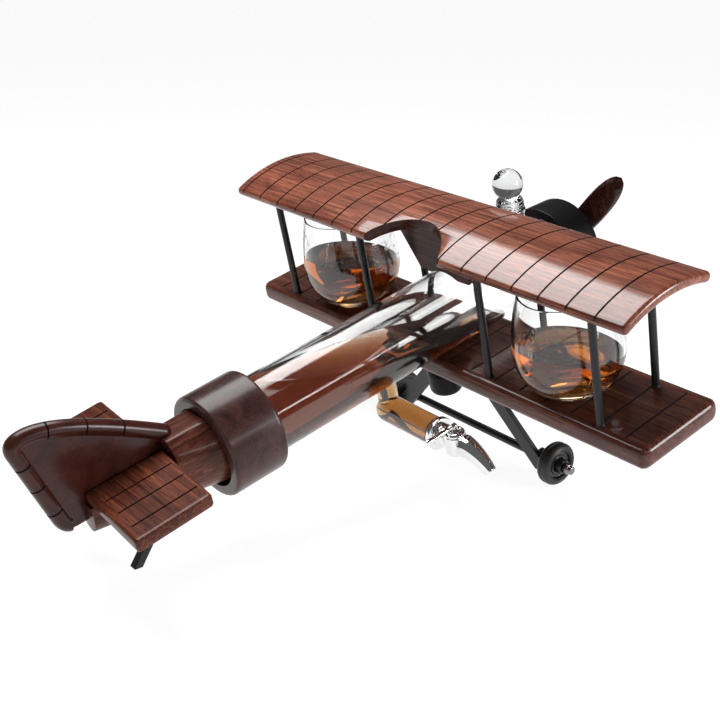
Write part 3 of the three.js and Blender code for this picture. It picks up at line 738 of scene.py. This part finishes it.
def cowl():
    bore, shaft, rear, floor, face = TUBE_CLEAR, 2.8, 148, 173.2, 181.8
    profile = fillet([(bore, 160), (bore, rear, 0.8), (39.8, rear, 1.4), (37.6, 181, 5.5),
                      (14, face, 2), (shaft, face), (shaft, floor), (bore, floor), (bore, 160)], 7)
    piece("nose_cup", revolve(profile, "Y", 144, (0, 0, TUBE_Z)), "airframe", ["engine_cowl"],
          [BLACK_SATIN], 50)


def blade(turned):
    """A leaf-shaped, twisted blade that stands up from the hub, or down if turned is -1."""
    steps, sides, widest = 30, 28, 0.38
    rings = []
    for row in range(steps + 1):
        t = row / steps
        if t < widest:
            leaf = math.sin(math.pi * (0.2 + 0.79 * t))
        else:
            leaf = 1 - ((t - widest) / (1 - widest)) ** 3
        chord = max(0.6, 11.2 * math.sqrt(leaf))
        thick = 2.7 * (1 - 0.55 * t) * min(1, 0.25 + 6 * (1 - t))
        twist = math.radians(24 - 14 * t)
        ring = []
        for i in range(sides):
            a = 2 * math.pi * i / sides
            across, along = chord * math.cos(a), thick * math.sin(a)
            x = across * math.cos(twist) - along * math.sin(twist)
            y = across * math.sin(twist) + along * math.cos(twist)
            ring.append((x * turned, y, (4 + 86 * t) * turned))
        rings.append(ring)
    return loft(rings)


def propeller():
    boss = revolve(fillet([(0, -4.2), (11, -4.2, 1.2), (11, 4.2, 1.6), (0, 4.2)], 5), "Y", 64)
    both = combine(combine(boss, blade(1), "UNION"), blade(-1), "UNION")
    turn = Matrix.Rotation(math.radians(42), 4, "Y")
    both.transform(Matrix.Translation((0, HUB.y / MM, TUBE_Z)) @ turn)
    piece("propeller_blades", both, "propeller_body", ["propeller"], [PROP_WOOD], 40)
    cap = fillet([(0, 191.9), (7.5, 191.9, 0.3), (7.5, 194, 0.6), (6.2, 197, 1.5),
                  (3.4, 199.1, 1.2), (0, 199.7)], 5)
    piece("spinner", revolve(cap, "Y", 48, (0, 0, TUBE_Z)), "propeller_body", ["propeller_cap"],
          [CHROME], 50)


# ---- Landing gear -----------------------------------------------------------------------------

def wheels():
    axle = (0, 44.2, -94.6)
    face, back, radius = 101.7, 89.7, 18.2
    tyre = fillet([(13.1, 96), (13.1, back, 0.6), (16, back, 1.6), (radius, back + 2.6, 1.4),
                   (radius, 94.6, 0.3), (17.5, 95.1, 0.2), (17.5, 96.3, 0.2), (radius, 96.8, 0.3),
                   (radius, face - 2.6, 1.4), (16, face, 0.8), (15, face - 0.8, 0.3),
                   (14, face - 0.1, 0.4), (13.1, face - 0.1, 0.3), (13.1, 96)], 4)
    hub = fillet([(3.7, 96), (3.7, back + 0.4), (12.8, back + 0.4, 0.5), (12.8, face - 0.4, 0.5),
                  (12, face - 0.4, 0.3), (11.2, face - 3, 0.6), (8.8, face - 3.4, 0.3),
                  (8.4, face - 2.4, 0.3), (6.8, face - 2.4, 0.4), (5.7, face + 4, 0.8),
                  (3.7, face + 4, 0.2), (3.7, 96)], 4)
    nut = fillet([(0, face + 5), (4.6, face + 5, 0.5), (4.6, face + 9, 0.5), (3.6, face + 9.6, 0.4),
                  (3.6, face + 12.2, 0.8), (0, face + 13.2)], 4)
    for side, name in ((-1, "left"), (1, "right")):
        def turned(profile, sides):
            return revolve([(out, side * along) for out, along in profile], "X", sides, axle)
        piece("rubber_ring_" + name, turned(tyre, 96), "wheel_" + name, ["tyre_" + name],
              [TYRE], 40)
        piece("wheel_disc_" + name, turned(hub, 80), "wheel_" + name, ["wheel_hub_" + name],
              [BLACK_GLOSS], 40)
        piece("end_nut_" + name, turned(nut, 24), "airframe", ["axle_nut_" + name],
              [NUT_METAL], 40)


def knob():
    profile = fillet([(0, -44.5), (13.6, -44.5, 4.5), (15, -24, 3), (12, -18.1), (0, -18.1)], 8)
    piece("round_knob", revolve(profile, "Z", 80, (0, 19.8, 0)), "airframe", ["underwing_knob"],
          [BLACK_SATIN], 50)


# ---- Tap --------------------------------------------------------------------------------------

def ring_centre(ring):
    return sum(ring, Vector()) / len(ring)


def tap_horn():
    """The drooping, tapering spout, hollow at its mouth."""
    rings = []
    for row in range(25):
        t = row / 24
        centre = Vector((87.6 + 28 * t - t * t, ARM_Y, ARM_Z - 13 * t * t))
        tangent = Vector((28 - 2 * t, 0, -26 * t)).normalized()
        radius = 9.4 - 4.4 * t
        side = Vector((0, 1, 0))
        lift = tangent.cross(side)
        rings.append([centre + side * radius * math.cos(a) + lift * radius * math.sin(a)
                      for a in (2 * math.pi * i / 40 for i in range(40))])
    inner = []
    for ring in (rings[-5], rings[-1]):
        middle = ring_centre(ring)
        inner.append([middle + (point - middle) * 0.74 for point in ring])
    past_mouth = (inner[1][0] - inner[0][0]).normalized() * 1.5
    inner[1] = [point + past_mouth for point in inner[1]]
    horn = combine(loft(rings), loft(inner))
    return soften(horn, 0.35, 2, 60)


def tap():
    at = (0, ARM_Y, ARM_Z)
    flange = fillet([(4, 59), (4, 57.6), (13.6, 57.6, 0.8), (13.6, 61.6, 1.2), (4, 61.6),
                     (4, 59)], 5)
    piece("tap_plate", revolve(flange, "X", 72, at), "airframe", ["tap_flange"],
          [CHROME], 45)
    sleeve = fillet([(0, 61.9), (9.6, 61.9, 0.5), (9.6, 65.4, 0.6), (8, 66.4, 0.4), (8, TAP_X),
                     (0, TAP_X)], 4)
    post = fillet([(0, -10.5), (7, -10.5, 1), (9, -8.4, 1), (9, 6.6, 1), (8.2, 7.8, 0.3),
                   (8.2, 9, 0.3), (6.6, 10.5, 0.8), (0, 10.5)], 5)
    valve = combine(revolve(sleeve, "X", 56, at), revolve(post, "Z", 56, (TAP_X, ARM_Y, ARM_Z)),
                    "UNION")
    piece("tap_valve", valve, "airframe", ["tap_body"], [CHROME], 45)
    piece("tap_horn", tap_horn(), "airframe", ["tap_spout"], [CHROME], 45)

    pivot = (TAP_X, ARM_Y, ARM_Z + 14)
    stem = rod((TAP_X, ARM_Y, ARM_Z + 10.8), pivot, 2.7, 40)
    bar = fillet([(0, -28.6), (2.6, -28.6, 1.2), (2.1, -22, 2), (1.8, -6, 2), (2.5, 2.6, 1),
                  (0, 2.6)], 5)
    piece("tap_handle", combine(stem, revolve(bar, "Y", 40, pivot), "UNION"), "tap_lever_body",
          ["tap_lever"], [CHROME], 45)


# ---- Tumblers ---------------------------------------------------------------------------------

def tumblers():
    outer = spline([(33.5, 7), (40.8, 20), (43, 36), (40.2, 60), (35, 82.2)], 14)
    inner = spline([(30.5, 11.4), (38.8, 21.4), (41.1, 36), (38.4, 60), (33.5, 82)], 14)
    foot = fillet([(0, 1.3), (19, 1.3, 1), (21, 0.3, 0.8), (26, 0.6, 2)], 4)
    bowl = spline([(0, 9), (18, 9.1), (26, 9.8), (30.5, 11.4)], 8)
    lip = [(34.9, 82.7), (34.2, 82.9), (33.6, 82.6)]
    profile = foot + outer + lip + inner[::-1] + bowl[::-1][1:]
    # The drink is drawn a little past the glass's inside, so that no air shows between them
    grown = [(radius + (0.4 if radius > 1 else 0), z - 0.3) for radius, z in bowl[:-1]]
    grown += [(radius + 0.4, z) for radius, z in inner] + [(0, 82)]
    for side, name, height in ((-1, "left", 147.6), (1, "right", 141.6)):
        at = (side * 129.3, 38.4, 0)
        body = f"tumbler_{name}_body"
        piece("glass_" + name, revolve(profile, "Z", 128, at), body, ["tumbler_" + name],
              [TUMBLER_GLASS], 60)
        level = combine(revolve(grown, "Z", 128, at), under(height * MM), "INTERSECT")
        piece("glass_drink_" + name, level, body, [], [SPIRIT_THIN], 40)


# ---- CAD nodes that keep their shape ----------------------------------------------------------

def keep(name, material, bevel=0.0):
    """Gives a CAD node its material and rounds its edges by a bevel in millimetres."""
    obj = nodes[name]
    obj.data.materials.clear()
    obj.data.materials.append(material)
    if bevel:
        modifier = obj.modifiers.new("edges", "BEVEL")
        modifier.width = bevel * MM
        modifier.segments = 3
        modifier.limit_method = "ANGLE"
        modifier.angle_limit = math.radians(40)
        modifier.harden_normals = True


upper_wing()
lower_wing()
stabilizer("left", (-6.6, -246, -6.6, -306.5), (-93.5, -240.5, -89.5, -303))
stabilizer("right", (6.6, -246.5, 6.6, -309.5), (80, -253, 82, -314.5))
struts()
decanter()
stopper()
collar()
tail_block()
fin()
cowl()
propeller()
wheels()
knob()
tap()
tumblers()
keep("wing_saddle", SADDLE_WOOD)
keep("tail_skid", BLACK_METAL, 0.5)
keep("gear_plate", BLACK_METAL, 0.3)
for side in ("left", "right"):
    keep("gear_leg_" + side, BLACK_METAL, 0.4)
    keep("axle_clip_" + side, BLACK_METAL, 0.3)
keep("axle", BLACK_METAL)
keep("propeller_shaft", CHROME)
keep("tap_gasket", GASKET)


# ---- Stage ------------------------------------------------------------------------------------

FLOOR_REACH = 40.0
FILL, BACKDROP = 0.12, 0.97
CAMERA_PLACE = (0.7013, -0.54, 0.527)  # metres, in the airframe
CAMERA_DIP, CAMERA_HEADING, CAMERA_ROLL = 22.155, 50.253, 1.135
CAMERA_LENS = 62.42


def stage_floor():
    m = Nodes("floor", Roughness=0.8, Specular_IOR_Level=0.0, Emission_Color=(1, 1, 1, 1),
              Emission_Strength=0.93)
    soft = m.noise((3, 3, 3), 2.0)
    grey = m.mix("MIX", soft, (0.16, 0.16, 0.16), (0.18, 0.18, 0.18))
    m.link(grey, m.shader.inputs["Base Color"])
    mesh = bpy.data.meshes.new("floor")
    far = FLOOR_REACH
    mesh.from_pydata([(-far, -far, 0), (far, -far, 0), (far, far, 0), (-far, far, 0)], [],
                     [(0, 1, 2, 3)])
    mesh.materials.append(m.material)
    floor = bpy.data.objects.new("floor", mesh)
    scene.collection.objects.link(floor)


def studio_world():
    """A backdrop that is pale to look at, and gives only a faint fill light."""
    world = bpy.data.worlds.new("studio")
    scene.world = world
    world.use_nodes = True
    tree = world.node_tree
    background = tree.nodes["Background"]
    background.inputs["Color"].default_value = (1, 1, 1, 1)
    seen = tree.nodes.new("ShaderNodeMapRange")
    seen.inputs["To Min"].default_value = FILL
    seen.inputs["To Max"].default_value = BACKDROP
    light_path = tree.nodes.new("ShaderNodeLightPath")
    tree.links.new(light_path.outputs["Is Camera Ray"], seen.inputs["Value"])
    tree.links.new(seen.outputs["Result"], background.inputs["Strength"])


def softbox(name, place, aim, size, power):
    light = bpy.data.lights.new(name, "AREA")
    light.shape = "RECTANGLE"
    light.size, light.size_y = size
    light.energy = power
    obj = bpy.data.objects.new(name, light)
    scene.collection.objects.link(obj)
    obj.location = place
    obj.rotation_euler = (Vector(aim) - Vector(place)).to_track_quat("-Z", "Y").to_euler()


def place_camera():
    camera = bpy.data.objects.new("camera", bpy.data.cameras.new("camera"))
    scene.collection.objects.link(camera)
    camera.data.sensor_width = 36
    camera.data.lens = CAMERA_LENS
    camera.data.clip_start = 0.01
    camera.data.dof.use_dof = False
    angles = (math.radians(90 - CAMERA_DIP), 0, math.radians(CAMERA_HEADING))
    heading = Euler(angles).to_matrix() @ Matrix.Rotation(math.radians(CAMERA_ROLL), 3, "Z")
    camera.matrix_world = Matrix.Translation(AIR @ Vector(CAMERA_PLACE)) @ heading.to_4x4()
    scene.camera = camera


stage_floor()
studio_world()
softbox("overhead", (-0.46, 0.0, 1.17), (0.05, 0, 0.15), (1.0, 0.8), 20)
softbox("right_front", (1.1, 0.75, 0.5), (0.2, 0.05, 0.12), (0.3, 0.6), 9)
softbox("right_strip", (0.97, 0.3, 0.45), (0, 0.05, 0.12), (1.0, 0.06), 1.5)
scene.view_settings.view_transform = "Standard"
place_camera()
